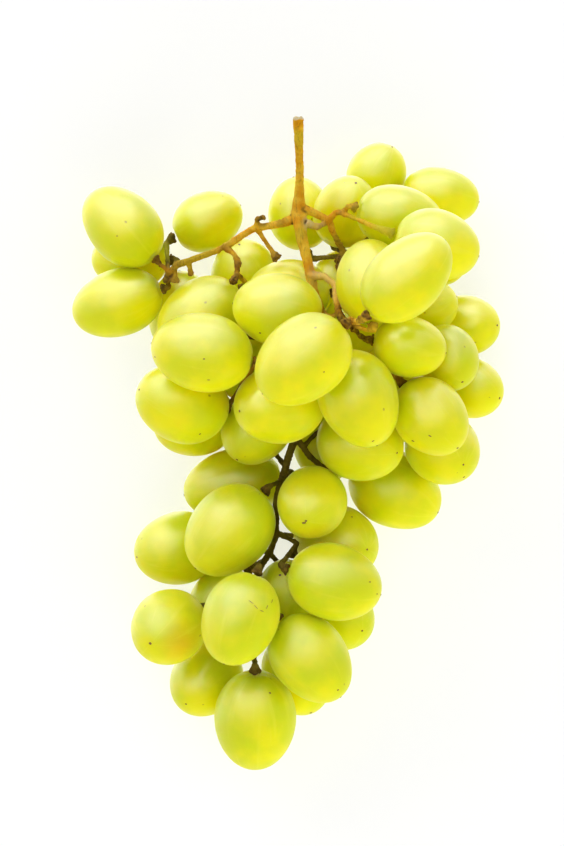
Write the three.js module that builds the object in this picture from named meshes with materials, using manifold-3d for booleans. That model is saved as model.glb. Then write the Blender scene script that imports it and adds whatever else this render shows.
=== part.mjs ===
// A bunch of pale green table grapes, lying on its side on a flat surface.
// Units are millimetres. +Z is up, and +Y runs along the bunch to the cut end of its stalk.

import * as THREE from 'three';
import Module from 'manifold-3d';
import { mergeVertices } from 'three/addons/utils/BufferGeometryUtils.js';

const wasm = await Module();
wasm.setup();

// Berry form. EGG is how much fuller a berry is towards its stem end, and the dimple there
// takes the pedicel's cap.
const BERRY_SIDES = 12;
const BERRY_RINGS = 8;
const EGG = 0.07;
const DIMPLE_RADIUS = 2.4;
const DIMPLE_DEPTH = 0.7;

// How the berries lie. GAP is left between every two bodies, and a resting berry is flattened
// by PRESSED_FLAT. The pull to a berry's home fades out over the first HELD_ROUNDS.
const GAP = 0.3;
const PRESSED_FLAT = 0.45;
const SETTLE_ROUNDS = 700;
const HELD_ROUNDS = 400;
const HOME_PULL = 0.05;
const SIDE_GIVE = 0.12;
const PARTING_ROUNDS = 6;

// Wood: the rachis and its branches
const STEM_SIDES = 6;
const STEM_STEP = 4.5;
const LEAST_STEPS = 4;
const KNOTS_A_STEP = 2;

// Pedicels, each from the wood to a flared cap at its berry. PEDICEL_ROOM is kept around the
// middle line, LEAD_OUT is the straight stretch at the cap, and a millimetre through a berry
// costs as much as BLOCKED_COST millimetres around it.
const PEDICEL_SIDES = 5;
const PEDICEL_STEPS = 5;
const PEDICEL_RADII = [0.85, 0.7, 0.7, 0.75, 1, 1.9];
const PEDICEL_ROOM = 1.15;
const PEDICEL_POINTS = 7;
const BEND_ROUNDS = 60;
const BLOCKED_COST = 12;
const STARTS_TRIED = 14;
const LEAD_OUT = 2.6;
const CAP_ROOM = 0.05;

const STEM_FINISH = { color: '#a8843c', roughness: 0.75, metalness: 0 };
const BERRY_FINISH = { color: '#c9d13a', roughness: 0.35, metalness: 0 };

// Woody routes. Each has the radius at even steps along it, and then its points.
const WOOD = [
  {
    name: 'peduncle',
    radii: [1.75, 1.5, 1.25, 1.2, 1.3, 1.6, 2.5],
    points: [[2.9, 93.4, 45], [3.2, 84.4, 40.5], [3.4, 76, 37], [3, 66.4, 35]],
  },
  {
    name: 'rachis',
    radii: [2.4, 1.5, 1.45, 1.4, 1.3, 1.2, 1.1, 1.0, 0.95, 0.9, 0.85, 0.8],
    points: [
      [3, 67.4, 35], [4, 59, 38], [5.5, 52.8, 39.6], [6.6, 47.6, 39], [7.6, 43, 37],
      [9.5, 37, 33], [8.5, 28, 29], [6.5, 18, 27], [4, 8, 26], [0.8, -1.7, 24],
      [-1.2, -8.5, 22], [-3, -14, 20], [-3.6, -20, 18], [-3.4, -25, 17],
      [-4.5, -30, 17], [-8.5, -37, 19], [-11, -45, 20.8], [-11, -54, 20.5], [-10, -61, 22],
    ],
  },
  {
    name: 'left branch',
    radii: [1.7, 1.1, 1.0, 1.05, 0.95, 0.9, 0.85, 1.1],
    points: [
      [3, 65.5, 35], [-2.3, 63.5, 35], [-6.7, 62.6, 35], [-10.4, 62, 34.5], [-13.9, 59.7, 34],
      [-18.3, 56.8, 33.5], [-24, 54.5, 33], [-28.4, 53, 32], [-32.4, 51.6, 31],
    ],
  },
  {
    name: 'left branch tip',
    radii: [0.9, 0.75],
    points: [[-32.4, 51.6, 31], [-34.5, 49.3, 30], [-35.4, 47.5, 29]],
  },
  {
    name: 'bare pedicel of the left branch',
    radii: [0.9, 0.65, 0.6, 0.65, 1.7],
    points: [[-8.7, 61.8, 34], [-6.7, 58.6, 33], [-4.6, 55.7, 33], [-3, 53.4, 33.5]],
  },
  {
    name: 'dried pedicel of the left branch',
    radii: [0.9, 0.8, 0.9, 0.7, 0.9, 1.3],
    points: [
      [-18.3, 56.6, 33.5], [-15.6, 55, 34.5], [-14.4, 51.9, 35], [-14.8, 49, 35], [-15.9, 46.4, 36],
    ],
  },
  {
    name: 'knob of the left branch',
    radii: [0.9, 0.8, 0.7, 0.5],
    points: [[-8.6, 62.4, 35], [-9, 64.5, 36], [-7.6, 65.4, 36.4], [-6.6, 64.6, 36]],
  },
  {
    name: 'stub of the left branch',
    radii: [0.8, 0.7, 0.9],
    points: [[-28.6, 52.6, 32], [-28.3, 50.4, 31.5], [-28, 48.8, 31.5]],
  },
  {
    name: 'bare pedicel of the left tip',
    radii: [0.8, 0.65, 0.8, 1.8],
    points: [[-32.4, 51.6, 31], [-32.8, 49, 30], [-33, 47, 29.5]],
  },
  {
    name: 'right branch',
    radii: [1.8, 1.25, 1.1, 1.0],
    points: [[3, 67.5, 35], [4.9, 67.6, 35.4], [8.7, 66, 35.6], [11.8, 64.4, 35.6]],
  },
  {
    name: 'right branch to the shoulder',
    radii: [1.0, 0.9, 0.85],
    points: [[11.8, 64.4, 35.6], [13.6, 66.5, 36.5], [16.2, 66.9, 37.5]],
  },
  {
    name: 'right branch downwards',
    radii: [1.0, 0.85, 0.8, 0.8],
    points: [[11.8, 64.4, 35.6], [13.6, 59.7, 34], [15.7, 56.3, 32], [17.1, 54.6, 29]],
  },
  {
    name: 'warty stub of the right branch',
    radii: [0.8, 0.8, 1.1, 1.2],
    points: [[11, 64.4, 35.6], [9.4, 62.6, 36.4], [7, 62.8, 37], [5.4, 63.8, 37.4]],
  },
  {
    name: 'bare pedicel of the right branch',
    radii: [0.7, 0.65, 1.0, 1.6],
    points: [[15.7, 56.3, 32], [15.4, 54, 32], [14.4, 52.5, 32.5]],
  },
  {
    name: 'second right branch',
    radii: [1.6, 1.1, 1.0, 0.95, 0.9, 1.0, 1.3],
    points: [
      [6.4, 48.5, 39.4], [10.4, 48.2, 41], [13.2, 46.4, 42.5], [13.6, 43.2, 43.5],
      [14, 38.9, 46.5], [16.3, 34.7, 49],
    ],
  },
  {
    name: 'left lateral',
    radii: [1.1, 0.9, 0.8],
    points: [[9.4, 36, 32.5], [0, 30, 26], [-10, 31, 23], [-18, 31, 21]],
  },
  {
    name: 'lower left lateral',
    radii: [1.1, 0.9, 0.8],
    points: [[6.5, 17, 27], [-3, 20, 28.5], [-13, 17.5, 29]],
  },
  {
    name: 'right lateral',
    radii: [1.1, 0.9, 0.8],
    points: [[6.8, 19, 27.4], [15, 20, 29], [24, 20, 29], [32, 20, 28]],
  },
  {
    name: 'lower right lateral',
    radii: [1.0, 0.85, 0.8],
    points: [[2.2, 2, 24.8], [4.4, -0.9, 24], [6.6, -4, 22], [12, -8, 19.5]],
  },
  {
    name: 'tail lateral',
    radii: [0.8, 0.7, 0.7],
    points: [[-3.4, -26, 17], [0.3, -27.6, 18.5], [2.6, -29, 20]],
  },
];

// Berries in view from above:
// name, x, y, starting height, length, width, heading of the blossom end, its rise
const BERRIES = [
  ['shoulder_left_1', -48, 63, 25, 27.4, 20.4, 135, -12],
  ['shoulder_left_2', -49.5, 41, 23, 27.6, 19.8, 197, -12],
  ['shoulder_left_3', -43.5, 51.5, 8.5, 23, 18, 180, 0],
  ['shoulder_left_4', -23, 64.5, 11, 21.5, 17.6, 25, 0],
  ['crown_left_1', -14.5, 47.5, 18, 25, 20.3, 100, 40],
  ['crown_left_2', 0, 44.3, 26, 24.4, 19.2, 180, 10],
  ['crown_left_3', 15, 47.5, 9, 21, 17, 60, 10],
  ['left_1', -31, 41.5, 9.7, 26, 20.4, 95, 0],
  ['left_2', -25.5, 39, 31, 27.8, 21.6, 215, 5],
  ['left_3', -24.5, 26, 47, 29.6, 22.6, 170, 0],
  ['left_4', -29.5, 12, 34, 28.4, 23.2, 163, 25],
  ['left_5', -23, 6, 10, 25, 21, 190, 10],
  ['left_6', -17.5, -8.5, 10, 29.6, 21, 192, 0],
  ['middle_1', -3, 38.5, 42, 26.2, 21, 172, 0],
  ['middle_2', 4.6, 23.6, 64, 30.2, 23.8, 220, 5],
  ['middle_3', -2.5, 11.5, 43, 28.4, 23.2, 190, 35],
  ['middle_4', -9.3, 5.5, 23, 24, 20.6, 240, 20],
  ['middle_5', 21.2, 13.8, 50, 29, 22.6, -69, 5],
  ['middle_6', 20, -1, 31, 27.4, 22.2, -15, 38],
  ['middle_7', 11, 0, 8.5, 23, 18, -80, 10],
  ['middle_8', 26.5, 30.5, 9.5, 24, 20, 20, 0],
  ['tail_1', -17, -25, 29, 29.6, 23.8, 228, 5],
  ['tail_2', -31.5, -31.8, 12, 26, 21.4, 192, 25],
  ['tail_3', -21, -45.5, 9, 23, 19, 230, 10],
  ['tail_4', -12.5, -50.6, 37, 27.6, 22, 250, 5],
  ['tail_5', -34, -53, 20, 26, 21.6, 220, 60],
  ['tail_6', -24, -69, 11, 25, 20.8, 230, 45],
  ['tail_7', -9.5, -80, 25, 30.4, 23.8, 270, -22],
  ['tail_8', 5, -60, 32, 28.4, 21.8, -52, 0],
  ['tail_9', 13.2, -49.2, 10.8, 23.6, 19.8, -30, 50],
  ['tail_10', 4, -66, 10.5, 25, 20.4, -70, 20],
  ['tail_11', 13, -40, 34, 27.8, 22.2, -15, 5],
  ['tail_12', 8, -16, 30, 25, 20.4, 250, 65],
  ['tail_13', 15.5, -29.5, 13, 28, 23, -10, 50],
  ['tail_14', -1, -42, 17, 22, 18.4, 260, 0],
  ['shoulder_right_1', 24.5, 46, 48, 25.4, 20.4, 92, -20],
  ['shoulder_right_2', 33.5, 47.3, 66, 30.4, 20.8, 44, -6],
  ['shoulder_right_3', 41, 56.5, 50, 25, 20.4, -15, 0],
  ['shoulder_right_4', 31.5, 65, 37, 26, 18.6, -12, -12],
  ['shoulder_right_5', 16.6, 67.3, 24, 24, 18.4, 70, 45],
  ['shoulder_right_6', 4.6, 67.3, 8.8, 22, 18.6, 100, 10],
  ['shoulder_right_7', 26.5, 79, 9, 19, 17.4, 60, 20],
  ['shoulder_right_8', 44, 72.5, 12, 23.2, 17.2, -8, 0],
  ['right_1', 34.2, 27, 44, 21.4, 17.8, -10, 10],
  ['right_2', 45, 26, 30, 21, 18, -60, 40],
  ['right_3', 40.6, 37.6, 22, 19, 16.6, 20, 0],
  ['right_4', 52, 34.5, 11, 20.6, 18.2, 0, 30],
  ['right_5', 53.5, 16.5, 10, 20, 17.8, -20, 30],
  ['right_6', 40.2, 8.8, 41, 25, 20.4, -50, 20],
  ['right_7', 43.6, -2, 21, 25, 21, -40, 55],
  ['right_8', 28, -15.5, 10.8, 29, 22.4, -28, 12],
];

// Berries of the underside, in the same order of values
const HIDDEN = [
  ['under_5', 17, 35, 23, 21, 18, 60, 10],
  ['under_4', 43, 55, 9, 20, 18, -20, 0],
  ['under_3', 33, 11, 10, 24, 20, 30, 0],
  ['under_2', 5.5, 19.5, 9.5, 24, 18.6, 80, 0],
  ['under_1', -13, 22, 10, 25, 20.4, 95, 0],
];

const Y_AXIS = new THREE.Vector3(0, 1, 0);
const Z_AXIS = new THREE.Vector3(0, 0, 1);

// A direction from its compass heading in plan and its rise above level, in degrees
function direction(heading, rise) {
  const turn = THREE.MathUtils.degToRad(heading);
  const lift = THREE.MathUtils.degToRad(rise);
  return new THREE.Vector3(
    Math.cos(lift) * Math.cos(turn),
    Math.cos(lift) * Math.sin(turn),
    Math.sin(lift),
  );
}

function makeBerry([name, x, y, height, length, width, heading, rise]) {
  return {
    name,
    home: new THREE.Vector3(x, y, height),
    centre: new THREE.Vector3(x, y, height),
    axis: direction(heading, rise),
    half: length / 2,
    radius: width / 2,
  };
}

const berries = [...BERRIES, ...HIDDEN].map(makeBerry);

// The value at a share of the way along a list of evenly spaced values
function valueAlong(values, share) {
  const place = share * (values.length - 1);
  const k = Math.min(Math.floor(place), values.length - 2);
  return THREE.MathUtils.lerp(values[k], values[k + 1], place - k);
}

// The wood as curves, and the round knots along it that the berries keep clear of
const wood = WOOD.map(({ name, radii, points }) => {
  const places = points.map((p) => new THREE.Vector3(...p));
  const curve = new THREE.CatmullRomCurve3(places);
  const steps = Math.max(LEAST_STEPS, Math.round(curve.getLength() / STEM_STEP));
  return { name, radii, curve, steps };
});

const knots = wood.flatMap(({ name, radii, curve, steps }) => {
  const count = steps * KNOTS_A_STEP;
  return curve.getSpacedPoints(count).map((centre, k) => {
    const radius = valueAlong(radii, k / count);
    return { name, centre, axis: Z_AXIS, half: radius, radius };
  });
});

// Point of the berry's ellipsoid that lies furthest along n, from its centre
function furthest(berry, n) {
  const r2 = berry.radius ** 2;
  const along = (berry.half ** 2 - r2) * berry.axis.dot(n);
  const reach = n.clone().multiplyScalar(r2).addScaledVector(berry.axis, along);
  return reach.divideScalar(Math.sqrt(reach.dot(n)));
}

// The pair of parallel planes that parts two berries best: its direction, and the room between
function partingOf(a, b) {
  const apart = b.centre.clone().sub(a.centre);
  const n = apart.clone().normalize();
  const step = 1 / apart.length();
  for (let round = 0; round < PARTING_ROUNDS; round++) {
    const miss = apart.clone().sub(furthest(a, n)).sub(furthest(b, n));
    n.addScaledVector(miss, step).normalize();
  }
  const room = apart.dot(n) - furthest(a, n).dot(n) - furthest(b, n).dot(n);
  return { n, room };
}

function lowest(berry) {
  return berry.centre.z - furthest(berry, Z_AXIS).z;
}

// The second body's share of a move apart
const SHARED = 0.5;
const ALONE = 1;

// Moves two bodies that are closer than GAP apart, more in height than sideways. The second
// takes its share of the move, and the first takes the rest.
function partTwo(a, b, share) {
  if (a.centre.distanceTo(b.centre) > a.half + b.half + GAP) return;
  const { n, room } = partingOf(a, b);
  if (room >= GAP) return;
  const push = n.multiplyScalar(GAP - room);
  push.x *= SIDE_GIVE;
  push.y *= SIDE_GIVE;
  a.centre.addScaledVector(push, share - 1);
  b.centre.addScaledVector(push, share);
}

// The stalk holds each berry near its place. The berries give way to each other, to the wood
// and to the surface that they lie on, until GAP is left between every two.
function settle() {
  for (let round = 0; round < SETTLE_ROUNDS; round++) {
    const pull = HOME_PULL * Math.max(0, 1 - round / HELD_ROUNDS);
    for (const berry of berries) {
      berry.centre.lerp(berry.home, pull);
      berry.centre.z += Math.max(0, -PRESSED_FLAT - lowest(berry));
    }
    for (let i = 0; i < berries.length; i++) {
      for (let j = i + 1; j < berries.length; j++) {
        partTwo(berries[i], berries[j], SHARED);
      }
      for (const knot of knots) partTwo(knot, berries[i], ALONE);
    }
  }
}

settle();

// A berry is turned on its own axis: stem end with its dimple at -y, blossom end at +y
function berryGeometry(berry, grow = 0) {
  const half = berry.half + grow;
  const radius = berry.radius + grow;
  const profile = [new THREE.Vector2(0, -half + DIMPLE_DEPTH)];
  const start = Math.asin(DIMPLE_RADIUS / radius);
  for (let k = 0; k < BERRY_RINGS - 1; k++) {
    const t = start + ((Math.PI - start) * k) / (BERRY_RINGS - 1);
    const x = radius * Math.sin(t) * (1 + EGG * Math.cos(t) * Math.sin(t));
    profile.push(new THREE.Vector2(x, -half * Math.cos(t)));
  }
  profile.push(new THREE.Vector2(0, half));
  const geometry = new THREE.LatheGeometry(profile, BERRY_SIDES);
  const turn = new THREE.Quaternion().setFromUnitVectors(Y_AXIS, berry.axis);
  return geometry.applyQuaternion(turn).translate(...berry.centre.toArray());
}

function solidOf(geometry) {
  const bare = geometry.clone();
  bare.deleteAttribute('normal');
  bare.deleteAttribute('uv');
  const merged = mergeVertices(bare, 1e-4);
  const mesh = new wasm.Mesh({
    numProp: 3,
    vertProperties: new Float32Array(merged.attributes.position.array),
    triVerts: new Uint32Array(merged.index.array),
  });
  return new wasm.Manifold(mesh);
}

function geometryOf(solid) {
  const mesh = solid.getMesh();
  const geometry = new THREE.BufferGeometry();
  geometry.setAttribute('position', new THREE.BufferAttribute(mesh.vertProperties, 3));
  geometry.setIndex(new THREE.BufferAttribute(mesh.triVerts, 1));
  geometry.computeVertexNormals();
  return geometry;
}

// A limb of varying thickness along a smooth curve, closed at both ends
function limb(curve, radii, sides, steps) {
  const frames = curve.computeFrenetFrames(steps, false);
  const geometry = new THREE.CylinderGeometry(1, 1, 1, sides, steps);
  const places = geometry.attributes.position;
  const offset = new THREE.Vector3();
  for (let i = 0; i < places.count; i++) {
    const k = Math.round((places.getY(i) + 0.5) * steps);
    const radius = valueAlong(radii, k / steps);
    offset.copy(frames.normals[k]).multiplyScalar(places.getX(i) * radius);
    offset.addScaledVector(frames.binormals[k], -places.getZ(i) * radius);
    places.setXYZ(i, ...curve.getPointAt(k / steps).add(offset).toArray());
  }
  return geometry;
}

// Moves a point out of the berries, leaving room around it. Returns how deep it was.
function moveClear(point, own) {
  let depth = 0;
  for (const berry of berries) {
    const away = point.clone().sub(berry.centre);
    if (away.length() > berry.half + PEDICEL_ROOM) continue;
    const along = away.dot(berry.axis);
    const out = away.addScaledVector(berry.axis, -along);
    const halfGrown = berry.half + (berry === own ? 0 : PEDICEL_ROOM);
    const radiusGrown = berry.radius + (berry === own ? 0 : PEDICEL_ROOM);
    const share = Math.hypot(along / halfGrown, out.length() / radiusGrown);
    if (share >= 1) continue;
    const push = away.copy(out).divideScalar(radiusGrown ** 2);
    push.addScaledVector(berry.axis, along / halfGrown ** 2).normalize();
    const deep = (1 - share) * radiusGrown;
    point.addScaledVector(push, deep);
    depth = Math.max(depth, deep);
  }
  return depth;
}

// A way from the wood to a berry's stem end, bent until it runs between the berries
function bentWay(from, berry) {
  const end = berry.centre.clone().addScaledVector(berry.axis, -berry.half - CAP_ROOM);
  const lead = end.clone().addScaledVector(berry.axis, -LEAD_OUT);
  const way = [];
  for (let k = 0; k < PEDICEL_POINTS; k++) {
    way.push(from.clone().lerp(lead, k / (PEDICEL_POINTS - 1)));
  }
  let blocked = 0;
  for (let round = 0; round < BEND_ROUNDS; round++) {
    blocked = 0;
    for (let k = 1; k < PEDICEL_POINTS - 1; k++) {
      const between = way[k - 1].clone().lerp(way[k + 1], 0.5);
      way[k].lerp(between, 0.5);
      blocked += moveClear(way[k], berry);
      way[k].z = Math.max(way[k].z, PEDICEL_ROOM);
    }
  }
  way.push(end);
  let length = 0;
  for (let k = 1; k < way.length; k++) length += way[k].distanceTo(way[k - 1]);
  return { way, cost: length + BLOCKED_COST * blocked };
}

// Pedicels branch off anywhere on the wood but the peduncle
const branching = knots.filter(({ name }) => name !== 'peduncle').map(({ centre }) => centre);

// The cheapest pedicel to a berry out of those from the nearest places on the wood
function pedicelOf(berry) {
  const end = berry.centre.clone().addScaledVector(berry.axis, -berry.half);
  const nearest = branching.slice().sort((p, q) => p.distanceTo(end) - q.distanceTo(end));
  const tries = nearest.slice(0, STARTS_TRIED).map((start) => bentWay(start, berry));
  tries.sort((p, q) => p.cost - q.cost);
  const curve = new THREE.CatmullRomCurve3(tries[0].way);
  return limb(curve, PEDICEL_RADII, PEDICEL_SIDES, PEDICEL_STEPS);
}

// Wood and pedicels grow as one piece, and stay GAP clear of every berry
function stemGeometry() {
  const branches = wood.map(({ radii, curve, steps }) => limb(curve, radii, STEM_SIDES, steps));
  const pedicels = berries.map(pedicelOf);
  const grown = wasm.Manifold.union([...branches, ...pedicels].map(solidOf));
  const room = wasm.Manifold.union(berries.map((berry) => solidOf(berryGeometry(berry, GAP))));
  const pieces = grown.subtract(room).decompose();
  pieces.sort((p, q) => q.volume() - p.volume());
  return geometryOf(pieces[0]);
}

// The block below the surface that the bunch lies on
const below = solidOf(new THREE.BoxGeometry(400, 400, 20).translate(0, 0, -10));

// A berry that rests on the surface is flat where it presses on it
function restingGeometry(berry) {
  const geometry = berryGeometry(berry);
  return lowest(berry) < 0 ? geometryOf(solidOf(geometry).subtract(below)) : geometry;
}

const group = new THREE.Group();

function addMesh(name, geometry, finish) {
  const mesh = new THREE.Mesh(geometry, new THREE.MeshStandardMaterial(finish));
  mesh.name = name;
  group.add(mesh);
}

addMesh('stem', stemGeometry(), STEM_FINISH);
for (const berry of berries) addMesh(`berry_${berry.name}`, restingGeometry(berry), BERRY_FINISH);

// The origin is on the surface, below the middle of the bunch
const box = new THREE.Box3().setFromObject(group);
const middle = box.getCenter(new THREE.Vector3());
group.position.set(-middle.x, -middle.y, -box.min.z);

export default group;
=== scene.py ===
"""Looks for a bunch of pale green table grapes that lies on a white surface. Units are metres."""

import math

import bpy
import numpy as np
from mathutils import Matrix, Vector, noise


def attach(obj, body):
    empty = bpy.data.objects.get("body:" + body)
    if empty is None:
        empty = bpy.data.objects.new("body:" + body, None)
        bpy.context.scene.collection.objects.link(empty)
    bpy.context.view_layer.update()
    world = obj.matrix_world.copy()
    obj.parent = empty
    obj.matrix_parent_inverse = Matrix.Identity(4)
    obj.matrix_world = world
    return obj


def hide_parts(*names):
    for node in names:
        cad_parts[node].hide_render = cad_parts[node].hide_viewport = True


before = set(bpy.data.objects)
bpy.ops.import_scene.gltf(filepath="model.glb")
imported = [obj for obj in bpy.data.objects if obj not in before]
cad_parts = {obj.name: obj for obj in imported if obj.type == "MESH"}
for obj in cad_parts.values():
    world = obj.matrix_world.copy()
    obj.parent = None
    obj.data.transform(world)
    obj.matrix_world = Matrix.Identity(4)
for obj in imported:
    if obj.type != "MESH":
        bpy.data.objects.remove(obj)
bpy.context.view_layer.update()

MM = 0.001
SEED = 11
rng = np.random.default_rng(SEED)


# ---------------------------------------------------------------- camera

IMAGE = (564, 846)
PIXEL = 0.29 * MM
PIXEL_HEIGHT = 25 * MM
CAMERA_PLACE = Vector((-1.99 * MM, 6.33 * MM, 1.5))
SENSOR = 36
NEAREST_SEEN = 0.1
FARTHEST_SEEN = 10


def make_camera():
    """A long lens straight above the bunch. At PIXEL_HEIGHT one pixel of the image is PIXEL wide."""
    data = bpy.data.cameras.new("camera")
    data.sensor_width = SENSOR
    data.lens = SENSOR * (CAMERA_PLACE.z - PIXEL_HEIGHT) / (max(IMAGE) * PIXEL)
    data.clip_start = NEAREST_SEEN
    data.clip_end = FARTHEST_SEEN
    camera = bpy.data.objects.new("camera", data)
    camera.location = CAMERA_PLACE
    bpy.context.scene.collection.objects.link(camera)
    bpy.context.scene.camera = camera


# ---------------------------------------------------------------- node helpers


# How much of a dot is fully dark, and the narrow band of values over which a cell gets one or not
DOT_CORE = 0.6
DOT_DECIDES = 0.001


class Nodes:
    """A material's node tree, with short calls for the nodes that the materials here use."""

    def __init__(self, name):
        self.material = bpy.data.materials.new(name)
        self.material.use_nodes = True
        self.tree = self.material.node_tree
        self.shader = self.tree.nodes["Principled BSDF"]

    def add(self, kind, **values):
        node = self.tree.nodes.new(kind)
        for name, value in values.items():
            setattr(node, name, value)
        return node

    def link(self, source, target):
        self.tree.links.new(source, target)

    def place(self):
        return self.add("ShaderNodeTexCoord").outputs["Object"]

    def stretched(self, vector, scale):
        node = self.add("ShaderNodeVectorMath", operation="MULTIPLY")
        self.link(vector, node.inputs[0])
        node.inputs[1].default_value = scale
        return node.outputs[0]

    def noise(self, vector, scale, detail=3.0, roughness=0.5):
        node = self.add("ShaderNodeTexNoise")
        self.link(vector, node.inputs["Vector"])
        node.inputs["Scale"].default_value = scale
        node.inputs["Detail"].default_value = detail
        node.inputs["Roughness"].default_value = roughness
        return node.outputs["Fac"]

    def spots(self, vector, scale, randomness=1.0):
        node = self.add("ShaderNodeTexVoronoi")
        self.link(vector, node.inputs["Vector"])
        node.inputs["Scale"].default_value = scale
        node.inputs["Randomness"].default_value = randomness
        return node.outputs["Distance"]

    def sparse_dots(self, vector, size, share):
        """Round dots in the given share of the cells of a flat pattern"""
        node = self.add("ShaderNodeTexVoronoi", voronoi_dimensions="2D")
        self.link(vector, node.inputs["Vector"])
        node.inputs["Scale"].default_value = 1.0
        parts = self.add("ShaderNodeSeparateColor")
        self.link(node.outputs["Color"], parts.inputs["Color"])
        dot = self.ramp(node.outputs["Distance"], DOT_CORE * size, size, 1.0, 0.0)
        chosen = self.ramp(parts.outputs[0], 1 - share, 1 - share + DOT_DECIDES)
        return self.math("MULTIPLY", dot, chosen)

    def ramp(self, value, low, high, to_low=0.0, to_high=1.0):
        node = self.add("ShaderNodeMapRange", interpolation_type="SMOOTHSTEP")
        self.link(value, node.inputs["Value"])
        node.inputs["From Min"].default_value = low
        node.inputs["From Max"].default_value = high
        node.inputs["To Min"].default_value = to_low
        node.inputs["To Max"].default_value = to_high
        return node.outputs["Result"]

    def math(self, operation, a, b):
        node = self.add("ShaderNodeMath", operation=operation)
        for value, socket in zip((a, b), node.inputs):
            if isinstance(value, (int, float)):
                socket.default_value = value
            else:
                self.link(value, socket)
        return node.outputs[0]

    def mix(self, factor, a, b):
        node = self.add("ShaderNodeMix", data_type="RGBA")
        for value, socket in zip((factor, a, b), (node.inputs[0], node.inputs[6], node.inputs[7])):
            if isinstance(value, (int, float)):
                socket.default_value = value
            elif isinstance(value, tuple):
                socket.default_value = (*value, 1.0)
            else:
                self.link(value, socket)
        return node.outputs[2]

    def attribute(self, name):
        """The three channels of a colour attribute"""
        node = self.add("ShaderNodeAttribute", attribute_name=name)
        parts = self.add("ShaderNodeSeparateColor")
        self.link(node.outputs["Color"], parts.inputs["Color"])
        return parts.outputs

    def bump(self, height, distance, under=None):
        node = self.add("ShaderNodeBump")
        node.inputs["Distance"].default_value = distance
        self.link(height, node.inputs["Height"])
        if under is not None:
            self.link(under, node.inputs["Normal"])
        return node.outputs["Normal"]

    def set(self, **values):
        for name, value in values.items():
            socket = self.shader.inputs[name.replace("_", " ")]
            if isinstance(value, (int, float)):
                socket.default_value = value
            elif isinstance(value, tuple):
                full = len(value) == len(socket.default_value)
                socket.default_value = value if full else (*value, 1.0)
            else:
                self.link(value, socket)


# ---------------------------------------------------------------- materials

# The middle band of a noise's values, where most of them lie, and how strong its finest detail is
MIDDLE = (0.35, 0.65)
COARSE = 0.6
COARSEST = 0.65

# Skin colours
GREEN_SKIN = (0.67, 0.735, 0.002)
GOLD_SKIN = (0.88, 0.825, 0.001)
# The orange of the painted glow where light comes through a berry
PAINTED_GLOW_SKIN = (0.80, 0.40, 0.02)
VEIN = (0.92, 0.89, 0.10)
LENTICEL = (0.92, 0.89, 0.09)
DOT = (0.30, 0.22, 0.02)

# Patterns of the skin. Scales are repeats a metre, or a turn where the pattern is stretched
# over the berry's own directions, and bands are the values over which a pattern fades in.
CLOUD_SCALE = 85
CLOUD_STRENGTH = 0.3
VEIN_STRETCH = (26, 2.2, 1)
VEIN_BAND = (0.54, 0.7)
VEIN_STRENGTH = 0.26
LENTICEL_SCALE = 520
LENTICEL_BAND = (0.10, 0.17)
LENTICEL_STRENGTH = 0.14
DOT_STRETCH = (6, 3.2, 1)
DOT_SIZE = 0.034
DOT_SHARE = 0.14
DOT_STRENGTH = 0.55

# Gloss and relief of the skin, with the scale and depth of each relief
GLOSS_SCALE = 160
GLOSS_BAND = (0.3, 0.7)
SKIN_ROUGHNESS = (0.28, 0.42)
DULLEST = 0.10
SOFT_RELIEF = (260, 0.05 * MM)
FINE_RELIEF = (1900, 0.012 * MM)
SKIN_IOR = 1.42
WAX = 0.06
WAX_ROUGHNESS = 0.5

# How far red, green and blue light go through the flesh, and how much they keep their direction
FLESH_RADII = (1.0, 0.8, 0.03)
FLESH_REACH = 13 * MM
FLESH_FORWARD = 0.4


def skin_material():
    """Thin, faintly waxy grape skin over translucent flesh"""
    n = Nodes("grape_skin")
    place = n.place()
    tone = n.attribute("tone")
    uv = n.add("ShaderNodeTexCoord").outputs["UV"]

    cloud = n.ramp(n.noise(place, CLOUD_SCALE, 3), *MIDDLE, -CLOUD_STRENGTH, CLOUD_STRENGTH)
    ripe = n.math("ADD", tone[0], cloud)
    skin = n.mix(n.math("MAXIMUM", n.math("MINIMUM", ripe, 1.0), 0.0), GREEN_SKIN, GOLD_SKIN)
    # Painted light: the orange glow of light coming through the berry, from the second channel of tone
    skin = n.mix(tone[1], skin, PAINTED_GLOW_SKIN)

    veins = n.noise(n.stretched(uv, VEIN_STRETCH), 1.0, 4)
    skin = n.mix(n.ramp(veins, *VEIN_BAND, 0, VEIN_STRENGTH), skin, VEIN)
    lenticels = n.spots(place, LENTICEL_SCALE)
    skin = n.mix(n.ramp(lenticels, *LENTICEL_BAND, LENTICEL_STRENGTH, 0.0), skin, LENTICEL)
    dots = n.sparse_dots(n.stretched(uv, DOT_STRETCH), DOT_SIZE, DOT_SHARE)
    skin = n.mix(n.math("MULTIPLY", dots, DOT_STRENGTH), skin, DOT)

    gloss = n.noise(place, GLOSS_SCALE, 4, COARSE)
    roughness = n.ramp(gloss, *GLOSS_BAND, *SKIN_ROUGHNESS)
    roughness = n.math("ADD", roughness, n.math("MULTIPLY", tone[2], DULLEST))
    soft = n.bump(n.noise(place, SOFT_RELIEF[0], 3), SOFT_RELIEF[1])
    fine = n.bump(n.noise(place, FINE_RELIEF[0], 2), FINE_RELIEF[1], soft)

    n.set(
        Base_Color=skin,
        Roughness=roughness,
        Normal=fine,
        IOR=SKIN_IOR,
        Subsurface_Weight=1.0,
        Subsurface_Radius=FLESH_RADII,
        Subsurface_Scale=FLESH_REACH,
        Subsurface_Anisotropy=FLESH_FORWARD,
        Sheen_Weight=WAX,
        Sheen_Roughness=WAX_ROUGHNESS,
    )
    return n.material


# Corky specks: two browns, and how fine their grain is
SCAB_DARK = (0.12, 0.06, 0.015)
SCAB_LIGHT = (0.30, 0.17, 0.04)
SCAB_GRAIN = 4000
SCAB_ROUGHNESS = 0.85


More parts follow.
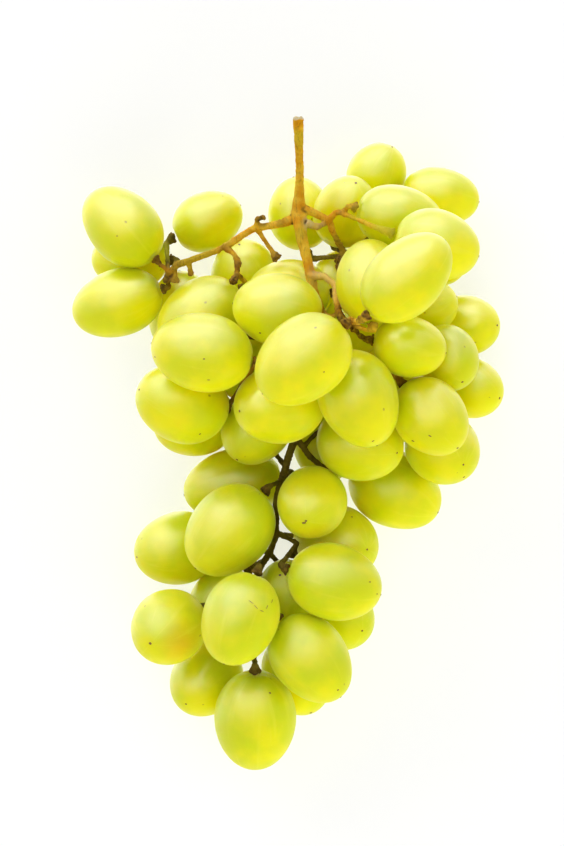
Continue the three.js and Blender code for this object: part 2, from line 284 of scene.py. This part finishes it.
def scab_material():
    """Dry brown corky specks"""
    n = Nodes("scab")
    grain = n.noise(n.place(), SCAB_GRAIN, 3)
    n.set(Base_Color=n.mix(grain, SCAB_DARK, SCAB_LIGHT), Roughness=SCAB_ROUGHNESS)
    return n.material


# Wood colours, each pair from its dark to its light blotches. The lit and the shaded pairs are one
# wood with painted light and painted shade.
PAINTED_LIT_WOOD = ((0.80, 0.38, 0.012), (0.95, 0.63, 0.06))
PAINTED_LIT_PATCH = (0.68, 0.52, 0.03)
SHADED_WOOD = ((0.13, 0.10, 0.012), (0.26, 0.20, 0.03))
FIBRE = (0.20, 0.10, 0.018)
PALE_WOOD = ((0.62, 0.44, 0.16), (0.92, 0.85, 0.62))
DRIED_AND_CREASE_SHADE_WOOD = ((0.055, 0.030, 0.008), (0.27, 0.15, 0.03))
FRESH_WOOD = (0.62, 0.62, 0.03)

# Patterns of the wood, and the scale and depth of its relief. The fibres run along the bunch.
FIBRE_STRETCH = (1.0, 0.16, 1.0)
FIBRE_SCALE = 1700
FIBRE_BAND = (0.5, 0.75)
FIBRE_STRENGTH = 0.5
FIBRE_DEPTH = 0.2 * MM
BLOTCH_SCALE = 230
PATCH_SCALE = 75
PATCH_BAND = (0.52, 0.66)
PATCH_STRENGTH = 0.7
DRIED_SCALE = 700
ROUGH_RELIEF = (1400, 0.25 * MM)

# Dull, with a little light passing under the surface
WOOD_ROUGHNESS = 0.8
WOOD_GLOSS = 0.12
WOOD_GLOW = 0.10
WOOD_RADII = (1.0, 0.5, 0.2)
WOOD_REACH = 1 * MM


def bark_material():
    """Woody stem: painted light makes it orange tan on its upper parts and painted shade makes it
    olive and brown elsewhere; dark where it dried, and with painted shade in its creases
    """
    n = Nodes("stem_bark")
    place = n.place()
    tone = n.attribute("tone")
    fibres = n.noise(n.stretched(place, FIBRE_STRETCH), FIBRE_SCALE, 4, COARSE)
    blotches = n.ramp(n.noise(place, BLOTCH_SCALE, 4, COARSE), *MIDDLE)
    patches = n.ramp(n.noise(place, PATCH_SCALE, 2), *PATCH_BAND, 0.0, PATCH_STRENGTH)
    # Painted light: the lit copy of the wood, with its olive patches, goes over the painted shade of
    # the shaded copy where the first channel of tone is high
    lit_bark = n.mix(patches, n.mix(blotches, *PAINTED_LIT_WOOD), PAINTED_LIT_PATCH)
    bark = n.mix(tone[0], n.mix(blotches, *SHADED_WOOD), lit_bark)
    bark = n.mix(n.ramp(fibres, *FIBRE_BAND, 0, FIBRE_STRENGTH), bark, FIBRE)
    bark = n.mix(tone[2], bark, n.mix(fibres, *PALE_WOOD))
    dried_blotches = n.ramp(n.noise(place, DRIED_SCALE, 4, COARSE), *MIDDLE)
    # Dried wood, and the painted shade of the creases, both from the second channel of tone
    bark = n.mix(tone[1], bark, n.mix(dried_blotches, *DRIED_AND_CREASE_SHADE_WOOD))
    bark = n.mix(n.attribute("fresh")[0], bark, FRESH_WOOD)
    rough = n.bump(n.noise(place, ROUGH_RELIEF[0], 5, COARSEST), ROUGH_RELIEF[1])
    ridged = n.bump(fibres, FIBRE_DEPTH, rough)
    n.set(
        Base_Color=bark,
        Roughness=WOOD_ROUGHNESS,
        Normal=ridged,
        Subsurface_Weight=WOOD_GLOW,
        Subsurface_Radius=WOOD_RADII,
        Subsurface_Scale=WOOD_REACH,
        Specular_IOR_Level=WOOD_GLOSS,
    )
    return n.material


# ---------------------------------------------------------------- berries

# Rings of a berry are given by their angle from its stem end, and lie closest around both ends
BERRY_SIDES = 56
DIMPLE_ANGLE = 0.32
BLOSSOM_ANGLE = math.pi - 0.2
RINGS = np.concatenate([
    np.linspace(0, DIMPLE_ANGLE, 9)[:-1],
    np.linspace(DIMPLE_ANGLE, BLOSSOM_ANGLE, 34)[:-1],
    np.linspace(BLOSSOM_ANGLE, math.pi, 6),
])

# EGG is how much fuller a berry is towards its stem end, and UNEVEN how much its radius strays,
# in WAVES around it
EGG = 0.07
UNEVEN = 0.007
WAVES = (2, 3, 4)

# The dimple that takes the pedicel, and the puckers around its rim. Distances from its middle
# count in its radius, and steepness is how fast each form dies out.
DIMPLE_RADIUS = 2.4 * MM
DIMPLE_DEPTH = 0.7 * MM
DIMPLE_STEEPNESS = 1.1
DIMPLE_FAR = 3
PUCKERS = 9
PUCKER_DEPTH = 0.07 * MM
PUCKERS_AT = 1.1
PUCKER_STEEPNESS = 3

# The most that the pattern of a berry is shifted over its skin, in its own repeats
PATTERN_SHIFT = 40

# Ripeness, from green 0 to gold 1, grows from the tail of the bunch to its shoulders, and dullness
# of the skin, from 0 to 1, shrinks. Both stray by a spread, and a berry is riper at its blossom end.
TAIL_FROM = -50 * MM
SHOULDER_FROM = 30 * MM
RIPE_TAIL = 0.32
RIPE_SHOULDER = 0.56
RIPE_SPREAD = 0.08
RIPE_END = 0.15
DULL_SPREAD = 0.2

# Painted light: orange glows painted where light that comes through a berry gathers on its lower side:
# berry, direction from its centre in radii, reach in radii, strength
PAINTED_GLOWS = [
    ("berry_tail_5", (0.35, -0.4, 0.8), 0.75, 0.55),
    ("berry_tail_12", (0.1, -0.75, 0.6), 0.6, 0.35),
    ("berry_left_5", (-0.6, -0.2, 0.7), 0.6, 0.2),
]


def measure(node):
    """A berry's centre, axis towards the blossom end, half length and radius, from its solid.
    The two poles are where the most edges meet, and the one at the stem end lies in a dimple."""
    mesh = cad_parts[node].data
    places = np.array([v.co for v in mesh.vertices])
    points, index = np.unique(places.round(6), axis=0, return_inverse=True)
    edges = index.ravel()[np.array([e.vertices[:] for e in mesh.edges])]
    edges = np.unique(np.sort(edges, axis=1), axis=0)
    meeting = np.bincount(edges[edges[:, 0] != edges[:, 1]].ravel())
    pole, other = np.argsort(meeting)[-2:]
    ring = edges[(edges == pole).any(1)].sum(1) - pole
    outwards = points[pole] - points[other]
    if ((points[ring] - points[pole]) @ outwards).mean() < 0:
        pole, other = other, pole
    span = points[other] - points[pole]
    length = np.linalg.norm(span)
    axis = span / length
    half = (length + DIMPLE_DEPTH) / 2
    centre = points[other] - half * axis
    away = points - centre
    out = np.linalg.norm(away - np.outer(away @ axis, axis), axis=1)
    return centre, axis, half, out.max()


def berry_surface(node):
    """Rings of points from the dimple at the stem end to the blossom end"""
    centre, axis, half, radius = measure(node)
    side = Vector(axis).orthogonal().normalized()
    across = Vector(axis).cross(side)
    turn = np.linspace(0, 2 * math.pi, BERRY_SIDES, endpoint=False)
    t = RINGS[:, None]
    phases = rng.uniform(0, 2 * math.pi, len(WAVES))
    wobble = sum(
        UNEVEN * np.cos(k * turn + phase + k * t) / (k - 1) for k, phase in zip(WAVES, phases)
    )
    out = radius * np.sin(t) * (1 + EGG * np.cos(t) * np.sin(t)) * (1 + wobble - UNEVEN)
    near = np.clip(out / DIMPLE_RADIUS, 0, DIMPLE_FAR)
    stem_side = t < math.pi / 2
    dimple = np.where(stem_side, DIMPLE_DEPTH * np.exp(-(near**2) * DIMPLE_STEEPNESS), 0)
    rim = np.exp(-((near - PUCKERS_AT) ** 2) * PUCKER_STEEPNESS)
    pucker = PUCKER_DEPTH * np.cos(PUCKERS * turn + phases[0]) * rim
    along = -half * np.cos(t) * (1 - UNEVEN) + dimple + np.where(stem_side, pucker, 0)
    points = (
        centre
        + along[..., None] * axis
        + (out * np.cos(turn))[..., None] * np.array(side)
        + (out * np.sin(turn))[..., None] * np.array(across)
    )
    points[..., 2] = np.maximum(points[..., 2], 0)
    return points, centre, axis, half, radius


def berry_mesh(name, points):
    """A closed mesh over rings of points, with u around the berry and v along it"""
    rings, sides = points.shape[:2]
    first, last = points[0, 0], points[-1, 0]
    body = points[1:-1].reshape(-1, 3)
    vertices = np.vstack([first, body, last])
    faces, uvs = [], []

    def corner(ring, k):
        if ring == 0:
            return 0
        if ring == rings - 1:
            return len(vertices) - 1
        return 1 + (ring - 1) * sides + k % sides

    for ring in range(rings - 1):
        for k in range(sides):
            loop = [(ring, k), (ring + 1, k), (ring + 1, k + 1), (ring, k + 1)]
            if ring == 0:
                loop = loop[:3]
            elif ring == rings - 2:
                loop = [loop[0], loop[1], loop[3]]
            faces.append([corner(*c) for c in loop][::-1])
            uvs.extend([(c[1] / sides, c[0] / (rings - 1)) for c in loop][::-1])
    mesh = bpy.data.meshes.new(name)
    mesh.from_pydata(vertices.tolist(), [], faces)
    shifted = np.array(uvs) + rng.uniform(0, PATTERN_SHIFT, 2)
    mesh.uv_layers.new(name="around").data.foreach_set("uv", shifted.ravel())
    mesh.polygons.foreach_set("use_smooth", [True] * len(mesh.polygons))
    return mesh


def paint(mesh, colours, name="tone"):
    """Stores three numbers a vertex, which the materials read"""
    layer = mesh.color_attributes.new(name, "FLOAT_COLOR", "POINT")
    filled = np.ones((len(mesh.vertices), 4))
    filled[:, :3] = colours
    layer.data.foreach_set("color", filled.ravel())


def add_piece(name, mesh, slot, *replaced):
    """Adds a piece in place of the nodes that it replaces. Its slot argument is not used."""
    piece = bpy.data.objects.new(name, mesh)
    bpy.context.scene.collection.objects.link(piece)
    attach(piece, "root")
    if replaced:
        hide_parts(*replaced)
    return piece


def make_berry(node, skin):
    """Makes a grape in place of its solid. Returns it, its stem end, blossom end and axis."""
    points, centre, axis, half, radius = berry_surface(node)
    mesh = berry_mesh(node.replace("berry", "grape"), points)
    mesh.materials.append(skin)
    upper = np.clip((centre[1] - TAIL_FROM) / (SHOULDER_FROM - TAIL_FROM), 0, 1)
    ripeness = RIPE_TAIL + (RIPE_SHOULDER - RIPE_TAIL) * upper + rng.normal(0, RIPE_SPREAD)
    co = np.array([v.co for v in mesh.vertices])
    tone = np.zeros((len(co), 3))
    tone[:, 0] = ripeness + RIPE_END * (co - centre) @ axis / half
    # Painted light: the second channel is the orange glow painted where light comes through the berry
    for name, at, reach, strength in PAINTED_GLOWS:
        if node == name:
            away = np.linalg.norm(co - centre - np.array(at) * radius, axis=1)
            tone[:, 1] = strength * np.clip(1 - away / (reach * radius), 0, 1)
    tone[:, 2] = np.clip(1 - upper + rng.normal(0, DULL_SPREAD), 0, 1)
    paint(mesh, tone)
    grape = add_piece(mesh.name, mesh, "grape_skin", node)
    return grape, points[0, 0], points[-1, 0], axis


# ---------------------------------------------------------------- stem

# The solid is rounded as a fine even mesh, and made STEM_FULLER fuller for what that takes away
WELD = 0.01 * MM
STEM_VOXEL = 0.34 * MM
ROUNDING = 0.6
ROUNDING_ROUNDS = 4
STEM_FULLER = 0.10 * MM

# Painted light and shade: the wood is painted as lit above these heights and beyond these places along
# the bunch, fading in over each, and as shaded elsewhere
LIT_HEIGHTS = (24 * MM, 35 * MM)
LIT_ALONG = (8 * MM, 26 * MM)

# Painted shade: creases are painted dark in the colour of dried wood. How far the hollow of one
# spreads, and how much it counts
HOLLOW_ROUNDS = 5
CREASE_SHADE_GAIN = 22

# Lumps of the wood: repeats a metre of the broad and the fine ones, their heights in millimetres,
# and how much higher each is where the wood has dried
BROAD_SCALE = 420
FINE_SCALE = 1300
BROAD_LUMPS = 0.18
FINE_LUMPS = 0.14
BROAD_DRIED = 0.30
FINE_DRIED = 0.42

# How far and how strongly a pedicel's cap has dried, and how dried wood varies with its fine lumps.
# A place fades out over the outer part of its reach.
CAP_REACH = 3.2 * MM
CAP_DRIED = 0.9
DRIED_EVEN = 0.85
DRIED_VARIES = 0.5
FADE_PART = 0.55

# Dried places of the stem, in millimetres: x, y, z, reach, strength
DRIED = [
    (-35.4, 47.5, 29, 3.4, 0.8), (-33, 47, 29.5, 2.6, 0.5), (-28, 48.8, 31.5, 2.6, 0.6),
    (-32.4, 51.6, 31, 3, 0.4), (-14.6, 50.5, 35, 5, 0.75), (-15.9, 46.4, 36, 5, 1),
    (-3, 53.4, 33.5, 3.5, 0.95), (-7.6, 65.2, 36.2, 2.8, 0.9), (-18.3, 56.7, 33.6, 2.6, 0.5),
    (-2.3, 64.3, 35.5, 2.2, 0.35), (17.1, 54.6, 29, 5, 0.9), (14.4, 52.5, 32.5, 3.6, 1),
    (15, 57.5, 32.5, 5, 0.5), (16.2, 66.9, 37.5, 3, 0.5), (16.3, 34.7, 49, 6, 0.95),
    (14, 38.4, 47, 3.2, 0.6), (9.4, 62.4, 36.4, 3, 0.3), (10, 38, 34, 9, 0.35),
    (21.1, 39.1, 49, 5, 0.8), (23.1, 31.2, 47, 5, 0.9), (19.5, 34, 48, 5, 0.8),
    (22, 37.4, 75.5, 3.4, 0.95), (23.2, 35.6, 75.3, 2.8, 0.85), (15.8, 34.6, 67.5, 4, 0.9),
    (19.4, 35.2, 72.3, 3.4, 0.7), (-38.4, 53.5, 30.2, 3.2, 0.85),
]

# Pale places, with the same values
PALE = [
    (9.6, 48.2, 41, 5.5, 0.42), (13.2, 46.4, 42.5, 5, 0.42), (13.6, 43.2, 43.5, 4.5, 0.3),
    (5.8, 63.6, 37.2, 2.8, 0.6), (8.6, 62.6, 36.6, 2.6, 0.45),
]

# Green places, with the same values
FRESH = [
    (20.5, 64.5, 40.5, 5, 0.8), (25, 62.5, 44.5, 5.5, 0.9), (29.4, 60.4, 50, 8, 1),
    (-35.3, 57, 17.5, 8, 0.45),
]

# The cut end of the stalk: how far its face reaches back from the tip, how far it is ragged, the
# parts of its reach over which its raggedness and its pale colour fade in, and the band of the
# normal's y over which a point turns from the side to the face
CUT_REACH = 1.5 * MM
CUT_RAGGED = 0.5 * MM
CUT_RAGGED_PART = 0.4
CUT_PALE_PART = 0.3
CUT_FACING = (0.35, 0.65)


def nearness(co, places):
    """The strongest of the places at each point, each fading out over its reach"""
    strongest = np.zeros(len(co))
    for x, y, z, reach, strength in places:
        away = np.linalg.norm(co - np.array((x, y, z)) * MM, axis=1)
        fade = np.clip((reach * MM - away) / (FADE_PART * reach * MM), 0, 1)
        strongest = np.maximum(strongest, strength * fade)
    return strongest


def rise(values, low, high):
    """0 up to low and 1 from high on"""
    return np.clip((values - low) / (high - low), 0, 1)


def hollows(mesh, co, normals):
    """How hollow the surface is at each vertex, from how far its neighbours stand above it"""
    edges = np.array([e.vertices[:] for e in mesh.edges])
    ends, others = np.concatenate([edges, edges[:, ::-1]]).T
    meeting = np.maximum(np.bincount(ends, minlength=len(co)), 1)

    def around_mean(values):
        return np.bincount(ends, weights=values[others], minlength=len(co)) / meeting

    means = np.stack([around_mean(co[:, k]) for k in range(3)], 1)
    depth = ((means - co) * normals).sum(1) / STEM_VOXEL
    for _ in range(HOLLOW_ROUNDS):
        depth = (depth + around_mean(depth)) / 2
    return np.clip(CREASE_SHADE_GAIN * depth, 0, 1)


def rounded_stem():
    """A fine, even and rounded mesh of the stem's solid"""
    work = bpy.data.objects.new("stem_work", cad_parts["stem"].data.copy())
    bpy.context.scene.collection.objects.link(work)
    weld = work.modifiers.new("weld", "WELD")
    weld.merge_threshold = WELD
    remesh = work.modifiers.new("remesh", "REMESH")
    remesh.mode = "VOXEL"
    remesh.voxel_size = STEM_VOXEL
    smooth = work.modifiers.new("smooth", "SMOOTH")
    smooth.factor = ROUNDING
    smooth.iterations = ROUNDING_ROUNDS
    evaluated = work.evaluated_get(bpy.context.evaluated_depsgraph_get())
    mesh = bpy.data.meshes.new_from_object(evaluated)
    mesh.name = "stem_bark"
    bpy.data.objects.remove(work)
    return mesh


def make_stem(bark, stem_ends):
    """Makes the stem in place of its solid, dried at its knots and at the caps at the stem ends, with
    painted light on its upper parts, painted shade below them and painted shade in its creases
    """
    mesh = rounded_stem()
    co = np.array([v.co for v in mesh.vertices])
    normals = np.array([v.normal for v in mesh.vertices])
    hollow = hollows(mesh, co, normals)
    caps = [(*(end / MM), CAP_REACH / MM, CAP_DRIED) for end in stem_ends]
    dried = nearness(co, DRIED + caps)
    tip = co[:, 1].max()
    cut = rise(co[:, 1] - tip + CUT_REACH, 0, CUT_RAGGED_PART * CUT_REACH)
    cut *= rise(normals[:, 1], *CUT_FACING)
    broad = np.array([noise.noise(Vector(p) * BROAD_SCALE) for p in co])
    fine = np.array([noise.noise(Vector(p) * FINE_SCALE) for p in co])
    lumps = BROAD_LUMPS * broad + FINE_LUMPS * fine
    lumps += dried * (FINE_DRIED * fine + BROAD_DRIED * broad)
    co += normals * (STEM_FULLER + lumps * MM)[:, None]
    co[:, 1] += cut * CUT_RAGGED * (broad + fine)
    co[:, 2] = np.maximum(co[:, 2], 0)
    mesh.vertices.foreach_set("co", co.ravel())
    mesh.polygons.foreach_set("use_smooth", [True] * len(mesh.polygons))
    tone = np.zeros((len(co), 3))
    # Painted light: the first channel is how lit the wood is painted, from its height and its place
    # along the bunch
    tone[:, 0] = rise(co[:, 2], *LIT_HEIGHTS) * rise(co[:, 1], *LIT_ALONG)
    # Second channel: dried wood, plus painted shade in the creases
    tone[:, 1] = np.clip(dried * (DRIED_EVEN + DRIED_VARIES * fine) + hollow, 0, 1)
    cut_back = co[:, 1] - tip + CUT_REACH * (1 + broad)
    cut_pale = rise(cut_back, 0, CUT_PALE_PART * CUT_REACH)
    tone[:, 2] = np.maximum(nearness(co, PALE), cut_pale)
    paint(mesh, tone)
    paint(mesh, nearness(co, FRESH)[:, None], "fresh")
    mesh.materials.clear()
    mesh.materials.append(bark)
    add_piece("stem_bark", mesh, "stem_wood", "stem")


# ---------------------------------------------------------------- scars

# Marks on the skins: column and row of the image, length and width in millimetres, turn in degrees
MARKS = [
    (204, 359, 0.7, 0.5, 0), (155, 357, 0.6, 0.5, 0), (260, 333, 0.8, 0.6, 30),
    (200, 434, 0.8, 0.5, 60), (270, 693, 0.7, 0.6, 0), (370, 582, 0.7, 0.5, 0),
    (377, 594, 0.5, 0.5, 0), (304, 523, 1.4, 0.7, 20), (373, 441, 0.9, 0.5, 40),
    (413, 441, 1.3, 0.45, 8), (430, 436, 1.1, 0.4, -25), (464, 477, 0.8, 0.6, 0),
    (280, 575, 0.9, 0.7, 0), (338, 690, 0.7, 0.6, 0), (251, 602, 1.8, 0.22, -38),
    (256, 607, 1.8, 0.22, -45), (262, 611, 1.6, 0.22, -12), (267, 607, 1.7, 0.22, 50),
    (272, 601, 1.6, 0.22, 42), (324, 372, 0.5, 0.5, 0),
    (352, 517, 0.6, 0.5, 0), (117, 236, 0.5, 0.4, 0),
]

# A scar is a low dome: its shoulder is the inner ring, as parts of its reach and its height, and
# its outline is ragged by a part of its reach
SCAR_SIDES = 10
SCAR_HEIGHT = 0.13 * MM
SCAR_SUNK = 0.05 * MM
SCAR_SHOULDER = (0.6, 0.8)
SCAR_RAGGED = 0.18

# Scars of the blossom ends: width in millimetres, the range of its size, and its other width
SCAR_WIDTH = 0.9
SCAR_VARIES = (0.75, 1.1)
SCAR_NARROWER = 0.9


def seen_at(column, row, grapes):
    """The place and the normal of the skin that the camera sees at a point of the image"""
    across = (column - IMAGE[0] / 2) * PIXEL
    up = (IMAGE[1] / 2 - row) * PIXEL
    through = Vector((CAMERA_PLACE.x + across, CAMERA_PLACE.y + up, PIXEL_HEIGHT))
    ray = (through - CAMERA_PLACE).normalized()
    hits = [grape.ray_cast(CAMERA_PLACE, ray) for grape in grapes]
    hits = [(place, normal) for hit, place, normal, face in hits if hit]
    return min(hits, key=lambda hit: (hit[0] - CAMERA_PLACE).length)


def scar(place, normal, length, width, turn):
    """A low dome over an ellipse, its rim a little below the skin"""
    along = Vector((math.cos(turn), math.sin(turn), 0))
    along = (along - normal * along.dot(normal)).normalized()
    across = normal.cross(along)
    points = []
    inner, part_of_height = SCAR_SHOULDER
    for share, height in ((1.0, -SCAR_SUNK), (inner, part_of_height * SCAR_HEIGHT)):
        for k in range(SCAR_SIDES):
            angle = 2 * math.pi * k / SCAR_SIDES
            reach = share * (1 + SCAR_RAGGED * rng.uniform(-1, 1)) / 2
            points.append(
                place + reach * length * math.cos(angle) * along
                + reach * width * math.sin(angle) * across + normal * height
            )
    points.append(place + normal * SCAR_HEIGHT)
    top = len(points) - 1
    faces = [tuple(range(SCAR_SIDES))[::-1]]
    for k in range(SCAR_SIDES):
        after = (k + 1) % SCAR_SIDES
        faces.append((k, after, SCAR_SIDES + after, SCAR_SIDES + k))
        faces.append((SCAR_SIDES + k, SCAR_SIDES + after, top))
    return points, faces


def make_scars(berries):
    """The marks, and a small corky scar at the blossom end of every berry that has it off the floor"""
    grapes = [grape for grape, stem_end, blossom_end, axis in berries]
    scars = []
    for grape, stem_end, blossom_end, axis in berries:
        if blossom_end[2] > SCAR_WIDTH * MM:
            width = SCAR_WIDTH * rng.uniform(*SCAR_VARIES) * MM
            narrower = SCAR_NARROWER * width
            scars.append(scar(Vector(blossom_end), Vector(axis), width, narrower, 0))
    for column, row, length, width, turn in MARKS:
        place, normal = seen_at(column, row, grapes)
        scars.append(scar(place, normal, length * MM, width * MM, math.radians(turn)))
    points, faces = [], []
    for new_points, new_faces in scars:
        faces.extend([tuple(v + len(points) for v in face) for face in new_faces])
        points.extend(new_points)
    mesh = bpy.data.meshes.new("scars")
    mesh.from_pydata(points, [], faces)
    mesh.polygons.foreach_set("use_smooth", [True] * len(mesh.polygons))
    mesh.materials.append(scab_material())
    add_piece("scars", mesh, "stem_wood")


# ---------------------------------------------------------------- stage and light

FLOOR_HALF = 2.5
FLOOR_WHITE = 0.42
FLOOR_ROUGHNESS = 0.9
FLOOR_GLOW = 0.57
LOOK = "Medium High Contrast"

# Soft panels that light the bunch, and panels that only its gloss mirrors:
# name, place, width, height, radiance
LIGHTS = [
    ("light_above", (0.0, 0.2, 1.8), 2.4, 2.4, 0.42),
    ("light_top", (-0.8, 1.5, 0.9), 2.2, 1.5, 1.63),
    ("light_foot", (0.25, -1.4, 0.9), 2.4, 1.8, 1.47),
    ("light_right", (1.7, 0.2, 0.8), 2.4, 1.6, 0.8),
    ("light_left", (-1.7, 0.2, 0.8), 2.4, 1.6, 0.3),
]
MIRRORED = [
    ("gloss_above", (-0.4, 0.72, 1.6), 2.8, 2.0, 3.2),
    ("gloss_top", (-0.35, 1.7, 0.6), 3.0, 1.6, 5.7),
]

# What the gloss mirrors around the bunch: bright past its top, dim past its foot, changing over
# a band of how much a direction points to the bright side
AROUND_TOWARDS = (-0.32, 0.95, 0.0)
AROUND_BAND = (-0.3, 0.8)
AROUND_DIM = 0.65
AROUND_BRIGHT = 3.3


def soft_panel(name, place, width, height, radiance, mirrored):
    """A panel that faces the bunch, and shows only in gloss or lights only what is dull"""
    data = bpy.data.lights.new(name, "AREA")
    data.shape = "RECTANGLE"
    data.size = width
    data.size_y = height
    data.energy = radiance * math.pi * width * height
    light = bpy.data.objects.new(name, data)
    light.location = place
    light.rotation_mode = "QUATERNION"
    light.rotation_quaternion = (-Vector(place)).to_track_quat("-Z", "Y")
    light.visible_glossy = mirrored
    light.visible_diffuse = not mirrored
    bpy.context.scene.collection.objects.link(light)


def make_surroundings():
    """A white room, which lights nothing. Gloss mirrors it as a band that is bright on one side."""
    world = bpy.data.worlds.new("world")
    bpy.context.scene.world = world
    world.use_nodes = True
    world.cycles.sampling_method = "NONE"
    world.cycles_visibility.diffuse = False
    tree = world.node_tree
    coordinate = tree.nodes.new("ShaderNodeTexCoord")
    dot = tree.nodes.new("ShaderNodeVectorMath")
    dot.operation = "DOT_PRODUCT"
    dot.inputs[1].default_value = AROUND_TOWARDS
    band = tree.nodes.new("ShaderNodeMapRange")
    band.interpolation_type = "SMOOTHSTEP"
    band.inputs["From Min"].default_value = AROUND_BAND[0]
    band.inputs["From Max"].default_value = AROUND_BAND[1]
    band.inputs["To Min"].default_value = AROUND_DIM
    band.inputs["To Max"].default_value = AROUND_BRIGHT
    ray = tree.nodes.new("ShaderNodeLightPath")
    strength = tree.nodes.new("ShaderNodeMath")
    strength.operation = "MAXIMUM"
    background = tree.nodes["Background"]
    background.inputs["Color"].default_value = (1, 1, 1, 1)
    tree.links.new(coordinate.outputs["Generated"], dot.inputs[0])
    tree.links.new(dot.outputs["Value"], band.inputs["Value"])
    tree.links.new(band.outputs["Result"], strength.inputs[0])
    tree.links.new(ray.outputs["Is Camera Ray"], strength.inputs[1])
    tree.links.new(strength.outputs[0], background.inputs["Strength"])


def make_stage():
    """The floor, which glows a little so that it stays white, the surroundings and the light"""
    mesh = bpy.data.meshes.new("floor")
    h = FLOOR_HALF
    mesh.from_pydata([(-h, -h, 0), (h, -h, 0), (h, h, 0), (-h, h, 0)], [], [(0, 1, 2, 3)])
    floor = bpy.data.objects.new("floor", mesh)
    bpy.context.scene.collection.objects.link(floor)
    floor.visible_glossy = False
    n = Nodes("floor_white")
    white = (FLOOR_WHITE, FLOOR_WHITE, FLOOR_WHITE)
    n.set(
        Base_Color=white,
        Roughness=FLOOR_ROUGHNESS,
        Specular_IOR_Level=0.0,
        Emission_Color=(1.0, 1.0, 1.0),
        Emission_Strength=FLOOR_GLOW,
    )
    mesh.materials.append(n.material)
    make_surroundings()
    for panel in LIGHTS:
        soft_panel(*panel, mirrored=False)
    for panel in MIRRORED:
        soft_panel(*panel, mirrored=True)
    bpy.context.scene.view_settings.view_transform = "Standard"
    bpy.context.scene.view_settings.look = LOOK


make_camera()
make_stage()
skin = skin_material()
berries = [make_berry(node, skin) for node in sorted(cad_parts) if node.startswith("berry_")]
bpy.context.view_layer.update()
make_stem(bark_material(), [stem_end for grape, stem_end, blossom_end, axis in berries])
make_scars(berries)
